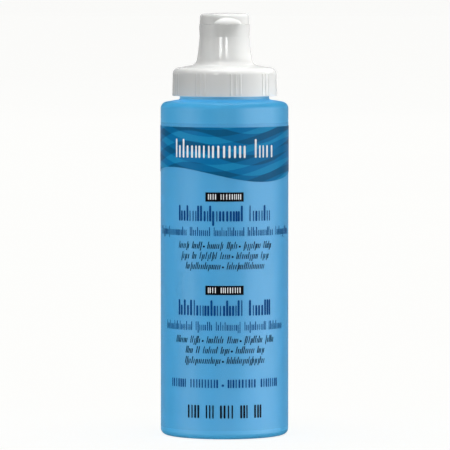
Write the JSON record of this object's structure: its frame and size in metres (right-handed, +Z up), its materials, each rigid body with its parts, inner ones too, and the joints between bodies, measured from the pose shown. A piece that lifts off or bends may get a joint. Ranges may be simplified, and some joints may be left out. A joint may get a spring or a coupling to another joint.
{
  "type": "squeeze bottle",
  "caption": "Round squeeze bottle of blue ultrasound gel with a ribbed screw cap, a flared dispensing spout and a small hinged flip lid with a thumb lip.",
  "frame": {"origin": "centre of the base, on the surface that the bottle stands on", "axes": "+Z up along the bottle's axis; -Y is the front, where the lid's thumb lip points; the lid's hinge is at +Y"},
  "size_m": [0.0522, 0.0522, 0.1717],
  "materials": {
    "bottle_plastic": "satin",
    "gel": "gloss",
    "label_film": "gloss",
    "gasket_foam": "matte",
    "cap_plastic": "satin"
  },
  "bodies": {
    "bottle": {"bottle": "bottle_plastic", "gel_fill": "gel", "label_film": "label_film"},
    "gasket": {"cap_gasket": "gasket_foam"},
    "cap": {"cap_body": "cap_plastic", "living_hinge": "cap_plastic"},
    "lid": {"flip_lid": "cap_plastic"}
  },
  "joints": [
    {"name": "cap_lift", "type": "slide", "parent": "bottle", "child": "gasket", "axis": [0, 0, 1], "range_m": [0, 0.00423]},
    {"name": "cap_turn", "type": "hinge", "parent": "gasket", "child": "cap", "pos_m": [0, 0, 0.142], "axis": [0, 0, 1], "range_deg": [0, 360]},
    {"name": "lid_swing", "type": "hinge", "parent": "cap", "child": "lid", "pos_m": [0, 0.00978, 0.167], "axis": [-1, 0, 0], "range_deg": [0, 150], "deforming": ["living_hinge"]}
  ],
  "couplings": [
    {"joint": "cap_lift", "follows": "cap_turn", "m_per_rad": 0.00067375}
  ]
}
